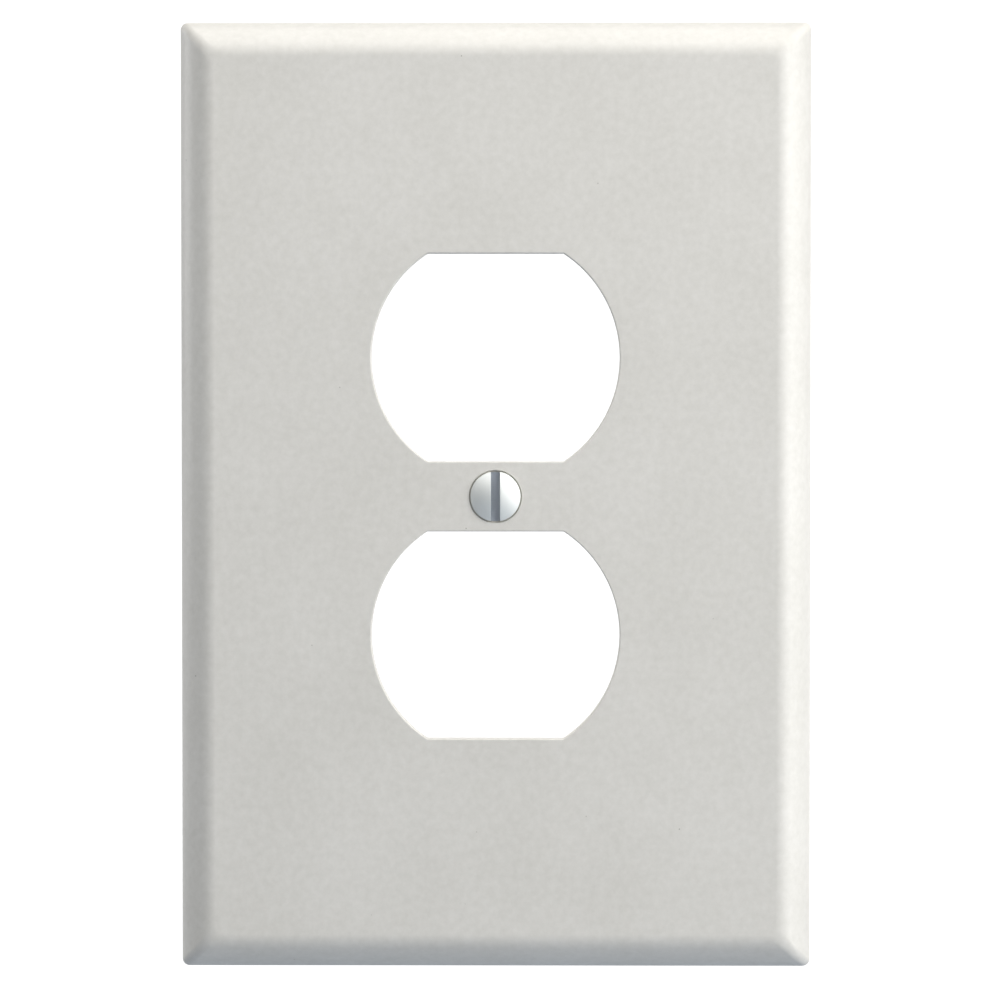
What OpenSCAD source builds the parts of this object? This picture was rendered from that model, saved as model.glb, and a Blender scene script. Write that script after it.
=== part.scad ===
// Oversize wall plate for a duplex receptacle, with its captive mounting screw.
// The wall is the plane y = 0 and the front face looks along -Y. X runs to the right
// and Z up. The origin is where the screw's axis meets the wall.

/* [Plate] */
// Width over the edges
plate_w = 88.9; // [80:0.1:120]
// Height over the edges
plate_h = 133.35; // [115:0.05:180]
// Depth from the wall to the front face
plate_d = 6.4; // [5.4:0.1:9]
// Thickness of the front face
face_t = 2.4; // [1.8:0.1:3]
// Thickness of the rim that stands on the wall
rim_t = 2.2; // [1.6:0.1:3]
// Corner radius of the outline
corner_r = 1; // [0.4:0.1:4]
// Radius of the pocket's corner behind the edge roll
pocket_r = 3.2; // [0.8:0.1:4]

/* [Edge roll] */
// Radius of the knee, where the face turns into the roll
knee_r = 3.5; // [1.5:0.1:3.8]
// Sine of the slope at which the knee ends
knee_s = 0.6; // [0.5:0.01:0.75]
// Radius of the long band of the roll
band_r = 8.25; // [6:0.05:9]
// Sine of the slope at which the band ends
heel_s = 0.96; // [0.87:0.01:0.97]
// Radius of the heel, where the band meets the upright lip
heel_r = 2; // [0.8:0.1:2.4]

/* [Openings] */
// Width of each opening across its round sides
opening_w = 34.8; // [29:0.1:42]
// Height of each opening between its flats
opening_h = 29.1; // [24:0.1:34.4]
// Height of the bar between the two openings
bar_h = 9.8; // [9.2:0.1:16]
// Rounding of the front rim of each opening
rim_r = 0.25; // [0.1:0.05:0.6]

/* [Ribs] */
// Thickness of the ribs
rib_t = 1.2; // [0.8:0.1:2]
// Distance from an opening to the ribs around it
rib_gap = 3.2; // [2:0.1:5]
// Distance that the ribs stop short of the wall
rib_setback = 1.6; // [0.8:0.1:2.4]
// Height of the boss round the screw hole, behind the face
boss_h = 0.75; // [0.4:0.05:1]
// Wall of the boss round the screw hole
boss_wall = 1.95; // [1.2:0.05:2.4]
// Diameter of the ejector pads
pad_d = 5; // [3:0.1:7]
// Height of the ejector pads
pad_h = 0.2; // [0.1:0.05:0.4]
// Distance from the edge of the pocket to the corner pads' centres
pad_inset = 8; // [5:0.1:10]

/* [Screw] */
// Diameter over the head's edge
head_d = 7; // [5.8:0.05:8.4]
// Height of the upright edge of the head
edge_h = 0.45; // [0.05:0.01:0.6]
// Height of the dome above the edge
dome_h = 1; // [0.6:0.05:1.4]
// Full angle of the cone under the head
cone_a = 82; // [78:1:100]
// Width of the driving slot
slot_w = 1.3; // [0.8:0.05:1.5]
// Depth of the slot below the top of the dome
slot_depth = 1.5; // [1:0.05:1.8]
// Diameter of the plain neck behind the cone
neck_d = 3; // [2.4:0.05:3.2]
// Outer diameter of the thread
thread_d = 3.505; // [3.35:0.005:4.2]
// Length from the head's edge to the tip
screw_l = 12.7; // [10.5:0.1:19]
// Chamfer at the tip
tip_c = 0.5; // [0.2:0.05:0.8]

/* [Washer] */
// Outer diameter of the retaining washer
washer_d = 7.5; // [6:0.1:9]
// Thickness of the retaining washer
washer_t = 0.6; // [0.4:0.05:1]
// Distance from the wall to the washer
washer_inset = 0.2; // [0.1:0.05:0.5]

/* [Clearances] */
// Radial gap between the head's edge and the mouth of the countersink
head_gap = 0.15; // [0.05:0.01:0.3]
// Gap along the axis between the cone and its seat
seat_play = 0.03; // [0.01:0.01:0.1]
// Radial gap between the thread and the hole in the plate
hole_gap = 0.3; // [0.15:0.05:0.6]
// Radial gap between the neck and the washer
washer_gap = 0.05; // [0.01:0.01:0.1]
// Gap along the axis between the washer and the start of the thread
thread_gap = 0.05; // [0.02:0.01:0.1]

/* [Hidden] */
$fn = 96;

over = 1;            // how far a cutter runs past what it cuts
face_y = -plate_d;
pocket_depth = plate_d - face_t;
pocket_y = -pocket_depth;
pocket_w = plate_w - 2 * rim_t;
pocket_h = plate_h - 2 * rim_t;
rib_h = pocket_depth - rib_setback;
opening_z = (bar_h + opening_h) / 2;

hole_d = thread_d + 2 * hole_gap;
boss_d = hole_d + 2 * boss_wall;
mouth_d = head_d + 2 * head_gap;
half_cone_a = cone_a / 2;
cone_y = face_y + head_gap / tan(half_cone_a) - seat_play;
dome_r = (pow(head_d / 2, 2) + pow(dome_h, 2)) / (2 * dome_h);
thread_y = -washer_inset + thread_gap;

// The roll and the pocket's corner as arcs: radius, sine of the slope at the start and at the end
roll_arcs = [[knee_r, 0, knee_s], [band_r, knee_s, heel_s], [heel_r, heel_s, 1]];
pocket_arcs = [[min(pocket_r, pocket_depth), 0, 1]];

// A chain of arcs starts at [0, 0] on the flat and turns down, away from it
function spoke(s) = [s, -sqrt(1 - s * s)];
function arc_step(arc) = arc[0] * (spoke(arc[2]) - spoke(arc[1]));
function knot(arcs, i) = i == 0 ? [0, 0] : knot(arcs, i - 1) + arc_step(arcs[i - 1]);
function arc_centre(arcs, i) = knot(arcs, i) - arcs[i][0] * spoke(arcs[i][1]);

// Section of a slab whose upper corners follow the chain of arcs: top at y = 0, foot at y = depth
module rolled_section(width, depth, arcs) {
    last = len(arcs);
    knots = [for (i = [0 : last]) knot(arcs, i)];
    flat = width / 2 - knots[last][0];
    intersection() {
        translate([-width / 2, 0]) square([width, depth]);
        union() {
            polygon(concat(
                [for (i = [0 : last]) [flat + knots[i][0], knots[i][1]]],
                [[width / 2, depth], [-width / 2, depth]],
                [for (i = [last : -1 : 0]) [-flat - knots[i][0], knots[i][1]]]));
            for (side = [0, 1], i = [0 : last - 1])
                mirror([side, 0]) translate([flat, 0]) arc_sector(arcs, i);
        }
    }
}

module arc_sector(arcs, i) {
    centre = arc_centre(arcs, i);
    reach = 2 * arcs[i][0];
    intersection() {
        translate(centre) circle(r = arcs[i][0]);
        polygon([centre, centre + reach * spoke(arcs[i][1]), centre + reach * spoke(arcs[i][2])]);
    }
}

// Slab with its upper edges rolled on all four sides and mitred at the corners
module rolled_slab(width, height, depth, arcs) {
    intersection() {
        linear_extrude(height, center = true) rolled_section(width, depth, arcs);
        rotate([0, 90, 0])
            linear_extrude(width, center = true) rolled_section(height, depth, arcs);
    }
}

// Everything drawn in a plane facing the front, from y up to y + depth
module facing(y, depth) {
    translate([0, y + depth, 0]) rotate([90, 0, 0]) linear_extrude(depth) children();
}

// Everything turned about the screw's axis, drawn with x as radius and y along the axis
module turned() {
    rotate([-90, 0, 0]) rotate_extrude() children();
}

module rounded_outline(width, height, r) {
    square([width - 2 * r, height], center = true);
    square([width, height - 2 * r], center = true);
    for (x = [-1, 1], z = [-1, 1])
        translate([x * (width / 2 - r), z * (height / 2 - r)]) circle(r = r);
}

// Half section of a cut that starts at y = 0 and flares to a rounded rim there
module flared_section(half, depth) {
    translate([0, -over]) square([half, depth + over]);
    difference() {
        translate([0, -over]) square([half + rim_r, over + rim_r]);
        translate([half + rim_r, rim_r]) circle(r = rim_r);
    }
}

// One opening of the pair: a round cut limited by two flats
module opening_cut() {
    depth = face_t + over;
    translate([0, face_y, 0]) intersection() {
        turned() flared_section(opening_w / 2, depth);
        rotate([0, 90, 0]) linear_extrude(opening_w + 2 * over, center = true)
            for (side = [0, 1]) mirror([side, 0]) flared_section(opening_h / 2, depth);
    }
}

module screw_hole_cut() {
    translate([0, face_y, 0]) turned() {
        polygon([[0, -over], [mouth_d / 2, -over], [mouth_d / 2, 0],
                 [hole_d / 2, (mouth_d - hole_d) / 2 / tan(half_cone_a)],
                 [hole_d / 2, plate_d], [0, plate_d]]);
    }
}

// Ribs and boss, from inside the face's thickness up to their height in the pocket
module ribs() {
    root = face_t / 2;
    rib_x = opening_w / 2 + rib_gap;
    rib_z = opening_z + opening_h / 2 + rib_gap;
    facing(pocket_y - root, root + rib_h) {
        for (side = [-1, 1]) {
            translate([side * rib_x, 0]) square([rib_t, plate_h], center = true);
            translate([0, side * rib_z]) square([plate_w, rib_t], center = true);
        }
    }
    facing(pocket_y - root, root + boss_h) {
        square([2 * rib_x, rib_t], center = true);
        circle(d = boss_d);
    }
}

module ejector_pads() {
    root = face_t / 2;
    facing(pocket_y - root, root + pad_h)
        for (x = [-1, 1], z = [-1, 0, 1])
            translate([x * (pocket_w / 2 - pad_inset), z * (pocket_h / 2 - pad_inset)]) circle(d = pad_d);
}

module pocket_cut() {
    difference() {
        translate([0, pocket_y, 0])
            rolled_slab(pocket_w, pocket_h, pocket_depth + over, pocket_arcs);
        ribs();
        ejector_pads();
    }
}

module wall_plate() {
    color("ivory") difference() {
        intersection() {
            translate([0, face_y, 0]) rolled_slab(plate_w, plate_h, plate_d, roll_arcs);
            facing(face_y - over, plate_d + 2 * over) rounded_outline(plate_w, plate_h, corner_r);
        }
        pocket_cut();
        for (side = [-1, 1]) translate([0, 0, side * opening_z]) opening_cut();
        screw_hole_cut();
    }
}

module mounting_screw() {
    cone_h = (head_d - neck_d) / 2 / tan(half_cone_a);
    color("silver") difference() {
        translate([0, cone_y, 0]) turned() {
            tip = screw_l;
            start = thread_y - cone_y;
            polygon([[0, -edge_h], [head_d / 2, -edge_h], [head_d / 2, 0], [neck_d / 2, cone_h],
                     [neck_d / 2, start], [thread_d / 2, start],
                     [thread_d / 2, tip - tip_c], [thread_d / 2 - tip_c, tip], [0, tip]]);
            intersection() {
                translate([0, dome_r - dome_h - edge_h]) circle(r = dome_r);
                translate([0, -edge_h - dome_h]) square([head_d / 2, dome_h]);
            }
        }
        translate([0, cone_y - edge_h - dome_h + slot_depth / 2 - over, 0])
            cube([slot_w, slot_depth + 2 * over, head_d + over], center = true);
    }
}

module retaining_washer() {
    color("sienna") facing(-washer_inset - washer_t, washer_t) difference() {
        circle(d = washer_d);
        circle(d = neck_d + 2 * washer_gap);
    }
}

wall_plate();
mounting_screw();
retaining_washer();
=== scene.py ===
import math

import bmesh
import bpy
from mathutils import Matrix, Vector


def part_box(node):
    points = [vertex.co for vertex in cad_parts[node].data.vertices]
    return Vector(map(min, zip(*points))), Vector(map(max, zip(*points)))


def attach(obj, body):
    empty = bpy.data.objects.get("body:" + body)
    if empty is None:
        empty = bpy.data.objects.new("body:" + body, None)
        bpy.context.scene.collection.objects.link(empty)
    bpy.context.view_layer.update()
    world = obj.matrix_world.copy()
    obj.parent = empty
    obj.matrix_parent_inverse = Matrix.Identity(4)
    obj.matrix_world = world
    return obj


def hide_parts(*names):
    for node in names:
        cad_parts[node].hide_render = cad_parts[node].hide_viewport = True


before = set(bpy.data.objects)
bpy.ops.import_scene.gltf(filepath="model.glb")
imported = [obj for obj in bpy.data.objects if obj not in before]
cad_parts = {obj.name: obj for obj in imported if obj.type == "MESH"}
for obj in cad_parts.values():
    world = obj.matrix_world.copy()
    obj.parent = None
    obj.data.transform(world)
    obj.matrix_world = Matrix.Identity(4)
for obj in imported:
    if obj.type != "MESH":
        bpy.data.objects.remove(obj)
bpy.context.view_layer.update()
scene = bpy.context.scene
mm = 0.001
weld = 1e-6                  # metres: points this close are one point
overshoot = 1.0              # how far a cutting tool runs past what it cuts
upright = Matrix.Rotation(math.pi / 2, 4, "X")     # turns a flat disc to face the front
print("frame loaded:", ", ".join(sorted(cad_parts)))


# Mesh helpers. Sizes in the dictionaries are millimetres and become metres here.
def pieceFrom(name, bm):
    mesh = bpy.data.meshes.new(name)
    bm.to_mesh(mesh)
    bm.free()
    piece = bpy.data.objects.new(name, mesh)
    scene.collection.objects.link(piece)
    return piece


def applyModifiers(piece):
    depsgraph = bpy.context.evaluated_depsgraph_get()
    mesh = bpy.data.meshes.new_from_object(piece.evaluated_get(depsgraph))
    piece.modifiers.clear()
    spare, piece.data = piece.data, mesh
    bpy.data.meshes.remove(spare)
    mesh.name = piece.name


def carve(piece, tool, operation="DIFFERENCE", overlapping=False):
    # exact Boolean, applied at once, and the tool is thrown away
    modifier = piece.modifiers.new("carve", "BOOLEAN")
    modifier.operation = operation
    modifier.solver = "EXACT"
    modifier.use_self = overlapping
    modifier.object = tool
    applyModifiers(piece)
    bpy.data.objects.remove(tool)


def reworked(piece):
    bm = bmesh.new()
    bm.from_mesh(piece.data)
    return bm


def putBack(piece, bm):
    bm.to_mesh(piece.data)
    bm.free()
    piece.data.update()


def roundEdges(bm, edges, size, segments):
    bmesh.ops.bevel(bm, geom=edges, offset=size * mm, offset_type="OFFSET", segments=segments,
                    profile=0.5, affect="EDGES", material=-1)


def roundSharpEdges(piece, size, sharpAngle):
    # the same for a whole piece, wherever its faces meet at more than sharpAngle
    modifier = piece.modifiers.new("rounding", "BEVEL")
    modifier.width = size * mm
    modifier.segments = 2
    modifier.limit_method = "ANGLE"
    modifier.angle_limit = math.radians(sharpAngle)
    applyModifiers(piece)


def cutAway(bm, point, normal):
    # removes what lies beyond the plane, which normal points out of
    bmesh.ops.bisect_plane(bm, geom=bm.verts[:] + bm.edges[:] + bm.faces[:], dist=1e-8,
                           plane_co=Vector(point) * mm, plane_no=normal, clear_outer=True)


def block(bm, low, high, soften=0.0):
    # box between two corners, its edges rounded by soften
    low, high = Vector(low) * mm, Vector(high) * mm
    place = Matrix.Translation((low + high) / 2) @ Matrix.Diagonal((*(high - low), 1))
    made = bmesh.ops.create_cube(bm, size=1, matrix=place)["verts"]
    if soften:
        roundEdges(bm, list({edge for vert in made for edge in vert.link_edges}), soften, 2)


def turned(points, steps, closed=False):
    # solid of revolution about the Y axis from (radius, y) points
    bm = bmesh.new()
    verts = [bm.verts.new((radius * mm, y * mm, 0)) for radius, y in points]
    pairs = list(zip(verts, verts[1:])) + ([(verts[-1], verts[0])] if closed else [])
    edges = [bm.edges.new(pair) for pair in pairs]
    bmesh.ops.spin(bm, geom=verts + edges, cent=(0, 0, 0), axis=(0, 1, 0),
                   angle=2 * math.pi, steps=steps, use_merge=True)
    bmesh.ops.remove_doubles(bm, verts=bm.verts, dist=1e-7)
    bmesh.ops.recalc_face_normals(bm, faces=bm.faces)
    return bm


def arcSteps(radius, slopeFrom, slopeTo, count):
    # (run, rise) of each step along an arc between two slopes
    slopes = [slopeFrom + (slopeTo - slopeFrom) * i / count for i in range(count + 1)]
    return [(radius * abs(math.sin(b) - math.sin(a)), radius * abs(math.cos(b) - math.cos(a)))
            for a, b in zip(slopes, slopes[1:])]


def stepFace(bm, face, steps, direction):
    # insets a face step by step, out of the solid (1) or into it (-1)
    for run, rise in steps:
        bmesh.ops.inset_region(bm, faces=[face], thickness=run * mm, depth=direction * rise * mm,
                               use_even_offset=True, use_boundary=True)


def softShade(piece, sharpAngle):
    piece.data.shade_smooth()
    piece.data.set_sharp_from_angle(angle=math.radians(sharpAngle))
    modifier = piece.modifiers.new("evenFaces", "WEIGHTED_NORMAL")
    modifier.keep_sharp = True
    modifier.weight = 90


# The moulded plate: rolled slab, hollow behind, two openings, a countersunk hole and ribs
plateLow, plateHigh = (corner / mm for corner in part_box("wall_plate"))
plateShape = {
    "kneeRadius": 3.5,       # where the flat face turns into the roll
    "kneeSlope": math.asin(0.6),
    "bandRadius": 8.25,
    "bandSlope": math.asin(0.96),
    "heelRadius": 2.0,       # where the roll meets the upright lip
    "mitreRounding": 1.0,
    "footRounding": 0.15,
    "faceThickness": 2.4,
    "rimWidth": 2.2,
    "pocketRadius": 3.2,
    "draft": 0.02,
    "openingWidth": 34.8,
    "openingHeight": 29.1,
    "openingPitch": 38.9,
    "openingRounding": 0.2,
    "innerRounding": 0.12,
    "mouthDiameter": 7.4,
    "mouthDepth": 0.5,       # upright part of the mouth, which leaves a dark ring round the head
    "mouthRounding": 0.06,
    "holeDiameter": 4.105,
    "coneAngle": 82,
    "ribThickness": 1.2,
    "ribX": 20.6,
    "ribZ": 37.2,
    "ribFoot": -1.6,         # how far the ribs reach towards the wall
    "bossDiameter": 8.0,
    "bossFoot": -3.25,
    "padDiameter": 5.0,
    "padHeight": 0.2,
    "padX": 34.25,
    "padZ": 56.475,
    "sink": 0.3,             # how far ribs and pads start inside the face
    "ribOverlap": 0.1,       # how far the ribs run into the rim
    "kneeSteps": 9,
    "bandSteps": 9,
    "heelSteps": 3,
    "pocketSteps": 10,
    "mitreSteps": 7,
    "openingSteps": 240,     # around each opening
    "boreSteps": 96,         # around the boss and the countersink
    "padSteps": 48,
}


def openingTool(shape, centreZ, front):
    # a disc trimmed to two flats, pushed through the face
    bm = bmesh.new()
    place = Matrix.Translation((0, (front - overshoot) * mm, centreZ * mm)) @ upright
    bmesh.ops.create_circle(bm, cap_ends=True, radius=shape["openingWidth"] / 2 * mm,
                            segments=shape["openingSteps"], matrix=place)
    for side in (-1, 1):
        cutAway(bm, (0, 0, centreZ + side * shape["openingHeight"] / 2), (0, 0, side))
    grown = bmesh.ops.extrude_face_region(bm, geom=bm.faces[:])["geom"]
    moved = [part for part in grown if isinstance(part, bmesh.types.BMVert)]
    bmesh.ops.translate(bm, verts=moved, vec=(0, (shape["faceThickness"] + 2 * overshoot) * mm, 0))
    bmesh.ops.recalc_face_normals(bm, faces=bm.faces)
    return pieceFrom("openingTool", bm)


def makePlate(shape, low, high):
    front, halfWidth, halfHeight = low.y, high.x, high.z
    roll = (arcSteps(shape["heelRadius"], math.pi / 2, shape["bandSlope"], shape["heelSteps"])
            + arcSteps(shape["bandRadius"], shape["bandSlope"], shape["kneeSlope"], shape["bandSteps"])
            + arcSteps(shape["kneeRadius"], shape["kneeSlope"], 0, shape["kneeSteps"]))
    lip = front + sum(rise for run, rise in roll)
    bm = bmesh.new()
    block(bm, (-halfWidth, lip, -halfHeight), (halfWidth, 0, halfHeight))
    bm.normal_update()
    face = next(f for f in bm.faces if f.normal.y < -0.5)
    back = next(f for f in bm.faces if f.normal.y > 0.5)
    stepFace(bm, face, roll, 1)

    sideDepth = -front - shape["faceThickness"] - shape["pocketRadius"]
    stepFace(bm, back, [(shape["rimWidth"] - shape["draft"], 0)], 1)
    stepFace(bm, back, [(shape["draft"], sideDepth)], -1)
    stepFace(bm, back, arcSteps(shape["pocketRadius"], math.pi / 2, 0, shape["pocketSteps"]), -1)

    # the four chains of edges up the corners, outside, across the rim and inside
    mitres = [edge for edge in bm.edges
              if edge.verts[0].co.x * edge.verts[1].co.x > 0
              and edge.verts[0].co.z * edge.verts[1].co.z > 0]
    roundEdges(bm, mitres, shape["mitreRounding"], shape["mitreSteps"])
    foot = [edge for edge in bm.edges
            if max(abs(vert.co.y) for vert in edge.verts) < weld
            and math.degrees(edge.calc_face_angle(0)) > 60]
    roundEdges(bm, foot, shape["footRounding"], 3)
    plate = pieceFrom("plateMoulding", bm)

    # ribs, webs, boss and ejector pads stand on the back of the face
    ceiling = front + shape["faceThickness"]
    root = ceiling - shape["sink"]
    intoRim = shape["rimWidth"] - shape["ribOverlap"]
    reachX, reachZ = halfWidth - intoRim, halfHeight - intoRim
    half, soft = shape["ribThickness"] / 2, shape["innerRounding"]
    ribs = bmesh.new()
    for side in (-1, 1):
        x, z = side * shape["ribX"], side * shape["ribZ"]
        block(ribs, (x - half, root, -reachZ), (x + half, shape["ribFoot"], reachZ), soft)
        block(ribs, (-reachX, root, z - half), (reachX, shape["ribFoot"], z + half), soft)
    block(ribs, (-shape["ribX"], root, -half), (shape["ribX"], shape["bossFoot"], half), soft)
    carve(plate, pieceFrom("ribs", ribs), "UNION", True)

    bossRadius = shape["bossDiameter"] / 2
    boss = turned([(0, root), (bossRadius, root), (bossRadius, shape["bossFoot"] - soft),
                   (bossRadius - soft, shape["bossFoot"]), (0, shape["bossFoot"])], shape["boreSteps"])
    carve(plate, pieceFrom("boss", boss), "UNION")
    pads = bmesh.new()
    padRadius, padTop = shape["padDiameter"] / 2, ceiling + shape["padHeight"]
    for x in (-shape["padX"], shape["padX"]):
        for z in (-shape["padZ"], 0, shape["padZ"]):
            place = Matrix.Translation((x * mm, (root + padTop) / 2 * mm, z * mm))
            bmesh.ops.create_cone(pads, cap_ends=True, segments=shape["padSteps"],
                                  radius1=padRadius * mm, radius2=padRadius * mm,
                                  depth=(padTop - root) * mm, matrix=place @ upright)
    carve(plate, pieceFrom("pads", pads), "UNION")

    for side in (-1, 1):
        carve(plate, openingTool(shape, side * shape["openingPitch"] / 2, front))
    mouth, hole = shape["mouthDiameter"] / 2, shape["holeDiameter"] / 2
    flare, step = math.tan(math.radians(shape["coneAngle"] / 2)), shape["mouthDepth"]
    countersink = turned([(0, front - overshoot), (mouth, front - overshoot), (mouth, front + step),
                          (mouth - step * flare, front + step), (hole, front + (mouth - hole) / flare),
                          (hole, overshoot), (0, overshoot)], shape["boreSteps"])
    carve(plate, pieceFrom("countersink", countersink))

    # moulded edges are never quite sharp
    bm = reworked(plate)
    bmesh.ops.remove_doubles(bm, verts=bm.verts, dist=weld)

    def rims(y, nearest, farthest):
        # square edges at depth y, by their distance from the screw's axis
        return [edge for edge in bm.edges
                if all(abs(vert.co.y - y * mm) < weld for vert in edge.verts)
                and 80 < math.degrees(edge.calc_face_angle(0)) < 100
                and all(nearest < math.hypot(vert.co.x, vert.co.z) / mm < farthest
                        for vert in edge.verts)]

    beyondMouth = mouth + 0.5
    beyondOpenings = (shape["openingPitch"] + shape["openingHeight"]) / 2 + 2
    for edges, rounding, segments in (
            (rims(front, beyondMouth, beyondOpenings), shape["openingRounding"], 4),
            (rims(front, hole, beyondMouth), shape["mouthRounding"], 2),
            ([edge for edge in rims(ceiling, beyondMouth, beyondOpenings) if edge.is_convex],
             shape["innerRounding"], 2)):
        roundEdges(bm, edges, rounding, segments)
    putBack(plate, bm)
    softShade(plate, 40)
    return plate


plate = makePlate(plateShape, plateLow, plateHigh)
print("plate:", len(plate.data.polygons), "faces")


# The mounting screw: domed oval head with a driving slot, plain neck, rolled machine thread
screwLow, screwHigh = (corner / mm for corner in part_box("mounting_screw"))
screwShape = {
    "headRadius": 3.5,
    "domeHeight": 1.0,
    "edgeHeight": 0.45,
    "coneAngle": 82,
    "slotWidth": 1.3,
    "slotDepth": 1.5,
    "edgeRounding": 0.05,
    "neckRadius": 1.5,
    "threadRadius": 1.7525,
    "rootRadius": 1.27,
    "pitch": 0.79375,        # 32 turns to the inch
    "threadStart": -0.15,
    "flankAngle": 30,
    "chamfer": 0.5,
    "domeSteps": 16,
    "headSteps": 128,
    "threadSteps": 72,       # in each turn
}


def threadBar(shape, start, end):
    # a zigzag of one tooth per pitch, spun one turn while it climbs one pitch, then cut flat
    pitch, crest, root = shape["pitch"], shape["threadRadius"], shape["rootRadius"]
    flank = (crest - root) * math.tan(math.radians(shape["flankAngle"]))
    crestWidth = pitch / 8
    tooth = [(root, 0), (root, pitch - 2 * flank - crestWidth),
             (crest, pitch - flank - crestWidth), (crest, pitch - flank)]
    spare = 2                # turns past each end, cut off again below
    turns = int((end - start) / pitch) + 2 * spare
    steps = shape["threadSteps"]
    bm = bmesh.new()
    verts = [bm.verts.new((radius * mm, (start + (turn - spare) * pitch + y) * mm, 0))
             for turn in range(turns) for radius, y in tooth]
    edges = [bm.edges.new(pair) for pair in zip(verts, verts[1:])]
    bmesh.ops.spin(bm, geom=verts + edges, cent=(0, 0, 0), axis=(0, 1, 0), angle=2 * math.pi,
                   steps=steps, dvec=(0, pitch / steps * mm, 0), use_merge=False)
    bmesh.ops.remove_doubles(bm, verts=bm.verts, dist=2 * weld)
    for y, side in ((start, -1), (end, 1)):
        cutAway(bm, (0, y, 0), (0, side, 0))
    bmesh.ops.holes_fill(bm, edges=[edge for edge in bm.edges if edge.is_boundary], sides=0)
    bmesh.ops.recalc_face_normals(bm, faces=bm.faces)
    return pieceFrom("threadBar", bm)


def makeScrew(shape, low, high):
    top, head, neck = low.y, shape["headRadius"], shape["neckRadius"]
    sphere = (head ** 2 + shape["domeHeight"] ** 2) / (2 * shape["domeHeight"])
    widest, count = math.asin(head / sphere), shape["domeSteps"]
    angles = [widest * i / count for i in range(count + 1)]
    dome = [(sphere * math.sin(angle), top + sphere * (1 - math.cos(angle))) for angle in angles]
    underEdge = dome[-1][1] + shape["edgeHeight"]
    coneEnd = underEdge + (head - neck) / math.tan(math.radians(shape["coneAngle"] / 2))
    start = shape["threadStart"]
    neckEnd = start + 0.4                            # the neck's foot is buried in the thread
    screw = pieceFrom("mountingScrew", turned(
        dome + [(head, underEdge), (neck, coneEnd), (neck, neckEnd), (0, neckEnd)], shape["headSteps"]))
    slot = bmesh.new()
    half = shape["slotWidth"] / 2
    block(slot, (-half, top - overshoot, -head - overshoot),
          (half, top + shape["slotDepth"], head + overshoot))
    carve(screw, pieceFrom("slotTool", slot))
    roundSharpEdges(screw, shape["edgeRounding"], 35)

    # the thread fades in from the neck and is chamfered at the tip
    bar = threadBar(shape, start, high.y)
    past = 0.05                                      # the tool clears the thread's crest by this
    crest, chamfer = shape["threadRadius"] + past, shape["chamfer"] + past
    fadeIn, end = neck + 0.02, high.y
    tipShape = turned([(0, start - overshoot), (fadeIn, start - overshoot), (fadeIn, start),
                       (crest, start + crest - neck), (crest, end - chamfer),
                       (crest - chamfer, end), (0, end + overshoot / 2)], 96)
    carve(bar, pieceFrom("tipShape", tipShape), "INTERSECT")
    carve(screw, bar, "UNION")
    bm = reworked(screw)
    bmesh.ops.remove_doubles(bm, verts=bm.verts, dist=weld)
    bmesh.ops.dissolve_degenerate(bm, edges=bm.edges, dist=weld)
    putBack(screw, bm)
    softShade(screw, 32)
    return screw


screw = makeScrew(screwShape, screwLow, screwHigh)
print("screw:", len(screw.data.polygons), "faces")


# The washer punched from fibre sheet that keeps the screw captive
washerLow, washerHigh = (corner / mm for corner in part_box("retaining_washer"))
washerShape = {
    "boreRadius": 1.55,
    "rollOver": 0.14,        # of the front edges, where the punch went in
    "crispEdge": 0.08,
    "edgeRounding": 0.04,
    "steps": 96,
}


def makeWasher(shape, low, high):
    # the punch leaves the front edges rolled over and the back edges crisp
    outer, bore = high.x, shape["boreRadius"]
    roll, crisp = shape["rollOver"], shape["crispEdge"]
    bm = turned([(bore, low.y + roll), (bore + roll, low.y), (outer - roll, low.y),
                 (outer, low.y + roll), (outer, high.y - crisp), (outer - crisp, high.y),
                 (bore + crisp, high.y), (bore, high.y - crisp)], shape["steps"], closed=True)
    washer = pieceFrom("retainingWasher", bm)
    roundSharpEdges(washer, shape["edgeRounding"], 30)
    softShade(washer, 40)
    return washer


washer = makeWasher(washerShape, washerLow, washerHigh)
print("washer:", len(washer.data.polygons), "faces")


# Materials
def linear(hexColour):
    # sRGB hex to linear, with alpha
    parts = [int(hexColour[i:i + 2], 16) / 255 for i in (1, 3, 5)]
    red, green, blue = (part / 12.92 if part <= 0.04045 else ((part + 0.055) / 1.055) ** 2.4
                        for part in parts)
    return (red, green, blue, 1)


def addNode(tree, kind, values=None, links=None, **settings):
    # adds a node, sets its properties and input values, and links its inputs to outputs
    node = tree.nodes.new(kind)
    for key, value in settings.items():
        setattr(node, key, value)
    for key, value in (values or {}).items():
        node.inputs[key].default_value = value
    for key, output in (links or {}).items():
        tree.links.new(output, node.inputs[key])
    return node


def setRamp(ramp, *stops):
    for element, (position, hexColour) in zip(ramp.color_ramp.elements, stops):
        element.position, element.color = position, linear(hexColour)


def newMaterial(name, **base):
    material = bpy.data.materials.new(name)
    material.use_nodes = True
    tree = material.node_tree
    shader = tree.nodes["Principled BSDF"]
    for key, value in base.items():
        shader.inputs[key].default_value = value
    place = addNode(tree, "ShaderNodeTexCoord").outputs["Object"]
    return material, tree, shader, place


def perMillimetre(size):
    return 1000 / size       # texture scale whose features are about size mm across


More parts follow.
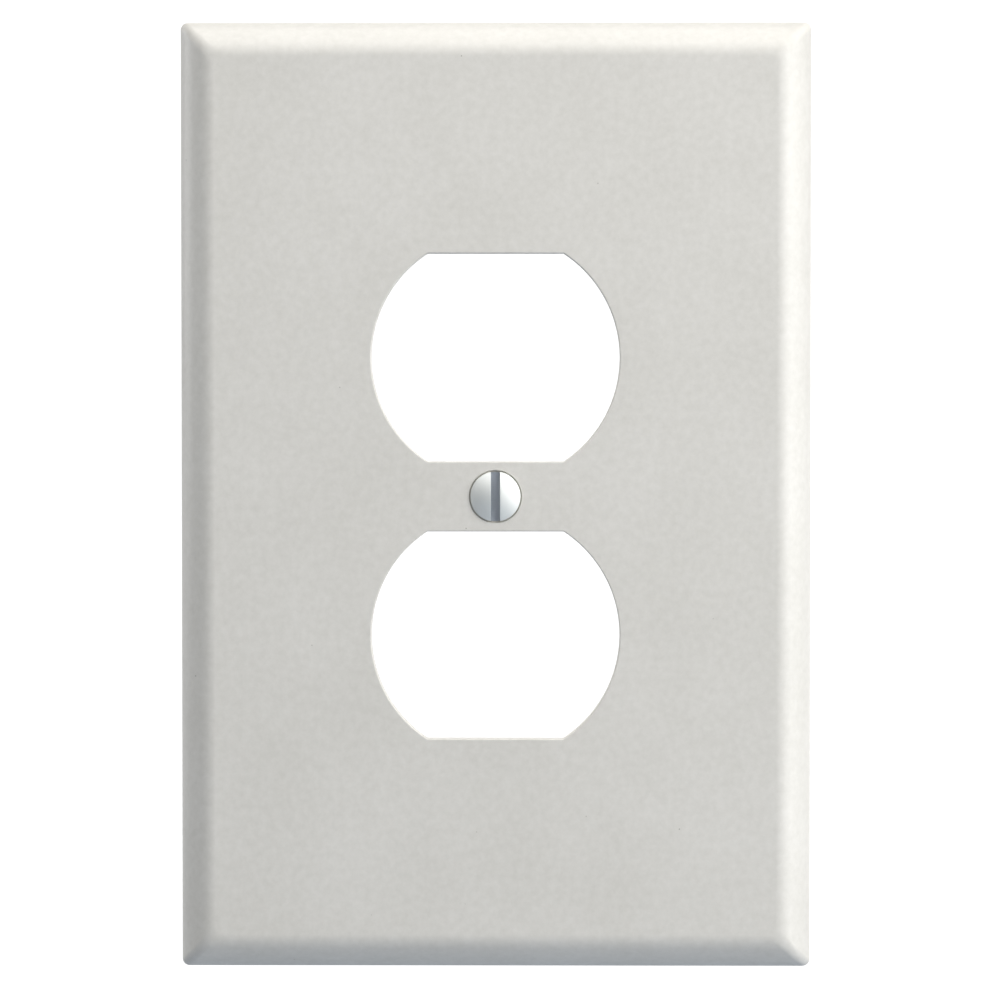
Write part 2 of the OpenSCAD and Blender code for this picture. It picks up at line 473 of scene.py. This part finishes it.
def mouldedUrea():
    # urea thermoset pressed in a satin steel mould: dense and opaque, a warm off-white that
    # clouds very slightly, with a soft broad gloss and an odd dark speck of filler
    material, tree, shader, place = newMaterial("mouldedUrea", **{"IOR": 1.53})
    cloud = addNode(tree, "ShaderNodeTexNoise",
                    {"Scale": perMillimetre(1.1), "Detail": 4, "Roughness": 0.6}, {"Vector": place})
    drift = addNode(tree, "ShaderNodeTexNoise", {"Scale": perMillimetre(14), "Detail": 2},
                    {"Vector": place})
    tone = addNode(tree, "ShaderNodeMix", {"Factor": 0.35},
                   {"A": cloud.outputs["Fac"], "B": drift.outputs["Fac"]})
    colour = addNode(tree, "ShaderNodeValToRGB", links={"Fac": tone.outputs["Result"]})
    setRamp(colour, (0.32, "#dad7cf"), (0.68, "#e5e2db"))
    specks = addNode(tree, "ShaderNodeTexVoronoi", {"Scale": perMillimetre(5)}, {"Vector": place})
    dot = addNode(tree, "ShaderNodeMath", {1: 0.022}, {0: specks.outputs["Distance"]},
                  operation="LESS_THAN")
    speckled = addNode(tree, "ShaderNodeMix", {"B": linear("#b7b4aa")},
                       {"Factor": dot.outputs[0], "A": colour.outputs["Color"]}, data_type="RGBA")
    tree.links.new(speckled.outputs[2], shader.inputs["Base Color"])
    skin = addNode(tree, "ShaderNodeTexNoise", {"Scale": perMillimetre(0.35), "Detail": 3},
                   {"Vector": place})
    bump = addNode(tree, "ShaderNodeBump", {"Strength": 0.12, "Distance": 0.02 * mm},
                   {"Height": skin.outputs["Fac"]})
    tree.links.new(bump.outputs["Normal"], shader.inputs["Normal"])
    gloss = addNode(tree, "ShaderNodeMapRange", {"To Min": 0.36, "To Max": 0.46},
                    {"Value": cloud.outputs["Fac"]})
    tree.links.new(gloss.outputs["Result"], shader.inputs["Roughness"])
    return material


def nickelPlatedSteel():
    # steel turned on a lathe and satin nickel plated: a cool pale metal whose reflections are
    # blurred to soft patches by fine rings
    material, tree, shader, place = newMaterial("nickelPlatedSteel", **{"Metallic": 1.0})
    split = addNode(tree, "ShaderNodeSeparateXYZ", links={"Vector": place})
    # painted shade: the colour turns a darker, bluer grey down in the driving slot, where shade falls
    insideWalls = (screwShape["slotWidth"] / 2 - 0.01) * mm
    belowSlot = -6 * mm
    aside = addNode(tree, "ShaderNodeMath", links={0: split.outputs["X"]}, operation="ABSOLUTE")
    narrow = addNode(tree, "ShaderNodeMath", {1: insideWalls}, {0: aside.outputs[0]},
                     operation="LESS_THAN")
    inHead = addNode(tree, "ShaderNodeMath", {1: belowSlot}, {0: split.outputs["Y"]},
                     operation="LESS_THAN")
    paintedSlotShade = addNode(tree, "ShaderNodeMath", links={0: narrow.outputs[0], 1: inHead.outputs[0]},
                     operation="MULTIPLY")
    colour = addNode(tree, "ShaderNodeMix", {"A": linear("#f3f5f2"), "B": linear("#aeb3bb")},
                     {"Factor": paintedSlotShade.outputs[0]}, data_type="RGBA")
    tree.links.new(colour.outputs[2], shader.inputs["Base Color"])
    # rings round the screw's axis, drawn coarser than the lathe's own marks so that they show
    flat = addNode(tree, "ShaderNodeCombineXYZ",
                   links={"X": split.outputs["X"], "Y": split.outputs["Z"]})
    radius = addNode(tree, "ShaderNodeVectorMath", links={0: flat.outputs[0]}, operation="LENGTH")
    rings = addNode(tree, "ShaderNodeTexNoise",
                    {"Scale": perMillimetre(0.16), "Detail": 3, "Roughness": 0.7},
                    {"W": radius.outputs["Value"]}, noise_dimensions="1D")
    bump = addNode(tree, "ShaderNodeBump", {"Strength": 0.35, "Distance": 0.01 * mm},
                   {"Height": rings.outputs["Fac"]})
    tree.links.new(bump.outputs["Normal"], shader.inputs["Normal"])
    haze = addNode(tree, "ShaderNodeTexNoise", {"Scale": perMillimetre(0.8), "Detail": 4},
                   {"Vector": place})
    gloss = addNode(tree, "ShaderNodeMapRange", {"To Min": 0.6, "To Max": 0.7},
                    {"Value": haze.outputs["Fac"]})
    tree.links.new(gloss.outputs["Result"], shader.inputs["Roughness"])
    return material


def vulcanisedFibre():
    # hard fibre sheet: matt red-brown, with short flat fibres that lie in the sheet
    material, tree, shader, place = newMaterial("vulcanisedFibre", **{"IOR": 1.5, "Roughness": 0.75})
    stretch = addNode(tree, "ShaderNodeMapping", {"Scale": (1, 4, 2.5), "Rotation": (0, 0.6, 0)},
                      {"Vector": place})
    fibres = addNode(tree, "ShaderNodeTexNoise",
                     {"Scale": perMillimetre(0.5), "Detail": 5, "Distortion": 0.6},
                     {"Vector": stretch.outputs["Vector"]})
    colour = addNode(tree, "ShaderNodeValToRGB", links={"Fac": fibres.outputs["Fac"]})
    setRamp(colour, (0.35, "#5e2c20"), (0.7, "#8a4a36"))
    tree.links.new(colour.outputs["Color"], shader.inputs["Base Color"])
    bump = addNode(tree, "ShaderNodeBump", {"Strength": 0.4, "Distance": 0.02 * mm},
                   {"Height": fibres.outputs["Fac"]})
    tree.links.new(bump.outputs["Normal"], shader.inputs["Normal"])
    return material


for piece, material, body, node, slot in (
        (plate, mouldedUrea(), "plate", "wall_plate", "moulded_plate"),
        (screw, nickelPlatedSteel(), "screw", "mounting_screw", "plated_steel"),
        (washer, vulcanisedFibre(), "washer", "retaining_washer", "vulcanised_fibre")):
    piece.data.materials.clear()
    piece.data.materials.append(material)
    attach(piece, body)
    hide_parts(node)
print("materials set")


# Pale floor some way below, white where it meets the horizon
studio = {
    "floorDrop": 0.25,       # metres below the origin
    "floorRadius": 12.0,
    "paleWithin": 0.7,       # the floor starts to whiten this far behind the plate
    "whiteFrom": 1.1,
    "white": 1.15,
    "dim": 0.2,              # the rest of the walls
    "dimUntil": 0.7,         # how far a direction turns to the back before the walls whiten
    "whiteAfter": 0.95,
}


def paleFloor():
    # a painted board, matt and slightly blue
    material, tree, shader, place = newMaterial("paleFloor",
                                                **{"Roughness": 0.9, "Specular IOR Level": 0.2})
    shader.inputs["Base Color"].default_value = linear("#a9b1bc")
    behind = addNode(tree, "ShaderNodeSeparateXYZ", links={"Vector": place}).outputs["Y"]
    far = addNode(tree, "ShaderNodeMapRange",
                  {"From Min": studio["paleWithin"], "From Max": studio["whiteFrom"]},
                  {"Value": behind}, interpolation_type="SMOOTHSTEP")
    glow = addNode(tree, "ShaderNodeEmission", {"Strength": studio["white"]})
    blend = addNode(tree, "ShaderNodeMixShader",
                    links={0: far.outputs["Result"], 1: shader.outputs[0], 2: glow.outputs[0]})
    tree.links.new(blend.outputs[0], tree.nodes["Material Output"].inputs["Surface"])
    return material


floorMesh = bmesh.new()
bmesh.ops.create_circle(floorMesh, cap_ends=True, radius=studio["floorRadius"], segments=96,
                        matrix=Matrix.Translation((0, 0, -studio["floorDrop"])))
floor = pieceFrom("floor", floorMesh)
floor.data.materials.append(paleFloor())

# The studio's walls: a white backdrop behind the plate, dimmer all round
world = bpy.data.worlds.new("studio")
world.use_nodes = True
scene.world = world
tree = world.node_tree
background = tree.nodes["Background"]
direction = addNode(tree, "ShaderNodeTexCoord").outputs["Generated"]
behind = addNode(tree, "ShaderNodeSeparateXYZ", links={"Vector": direction}).outputs["Y"]
strength = addNode(tree, "ShaderNodeMapRange",
                   {"From Min": studio["dimUntil"], "From Max": studio["whiteAfter"],
                    "To Min": studio["dim"], "To Max": studio["white"]},
                   {"Value": behind}, interpolation_type="SMOOTHSTEP")
tree.links.new(strength.outputs["Result"], background.inputs["Strength"])
background.inputs["Color"].default_value = (1, 1, 1, 1)

# Soft boxes: direction from the plate as azimuth and elevation, distance and side in metres
softBoxes = {
    "key": {"azimuth": 40, "elevation": 45, "distance": 0.7, "side": 0.6, "watts": 1.2},
    "high": {"azimuth": 60, "elevation": 65, "distance": 0.7, "side": 0.6, "watts": 1.1},
    "leftHigh": {"azimuth": -35, "elevation": 60, "distance": 0.7, "side": 0.6, "watts": 1.95},
    "overhead": {"azimuth": 0, "elevation": 105, "distance": 1.1, "side": 0.6, "watts": 2.0},
    "right": {"azimuth": 75, "elevation": 5, "distance": 0.7, "side": 0.5, "watts": 2.05},
    "frontRight": {"azimuth": 50, "elevation": 15, "distance": 0.7, "side": 0.5, "watts": 1.95},
    "left": {"azimuth": -75, "elevation": 5, "distance": 1.1, "side": 0.5, "watts": 0.4},
    "leftRim": {"azimuth": -115, "elevation": 13, "distance": 1.1, "side": 0.5, "watts": 2.2},
}


def towards(azimuth, elevation):
    a, e = math.radians(azimuth), math.radians(elevation)
    return Vector((math.sin(a) * math.cos(e), -math.cos(a) * math.cos(e), math.sin(e)))


def aimed(thing, out):
    # turns a lamp or camera that stands on the side out points to, so that it looks back
    thing.rotation_euler = (-out).to_track_quat("-Z", "Y").to_euler()
    scene.collection.objects.link(thing)


for name, box in softBoxes.items():
    lamp = bpy.data.lights.new(name, "AREA")
    lamp.energy, lamp.size = box["watts"], box["side"]
    spot = bpy.data.objects.new(name, lamp)
    out = towards(box["azimuth"], box["elevation"])
    spot.location = out * box["distance"]
    spot.visible_camera = False
    aimed(spot, out)

# Camera: nearly square on, a touch above and to the right
view = {
    "azimuth": 0.483,
    "elevation": 1.523,
    "distance": 0.555,
    "aim": (0.585, 0, -0.65),
    "lens": 141.05,
    "sensor": 36,
}
cameraData = bpy.data.cameras.new("camera")
cameraData.lens, cameraData.sensor_width = view["lens"], view["sensor"]
cameraData.clip_start, cameraData.clip_end = 0.01, 60
camera = bpy.data.objects.new("camera", cameraData)
out = towards(view["azimuth"], view["elevation"])
camera.location = Vector(view["aim"]) * mm + out * view["distance"]
aimed(camera, out)
scene.camera = camera
scene.view_settings.view_transform = "Standard"
print("studio and camera set")
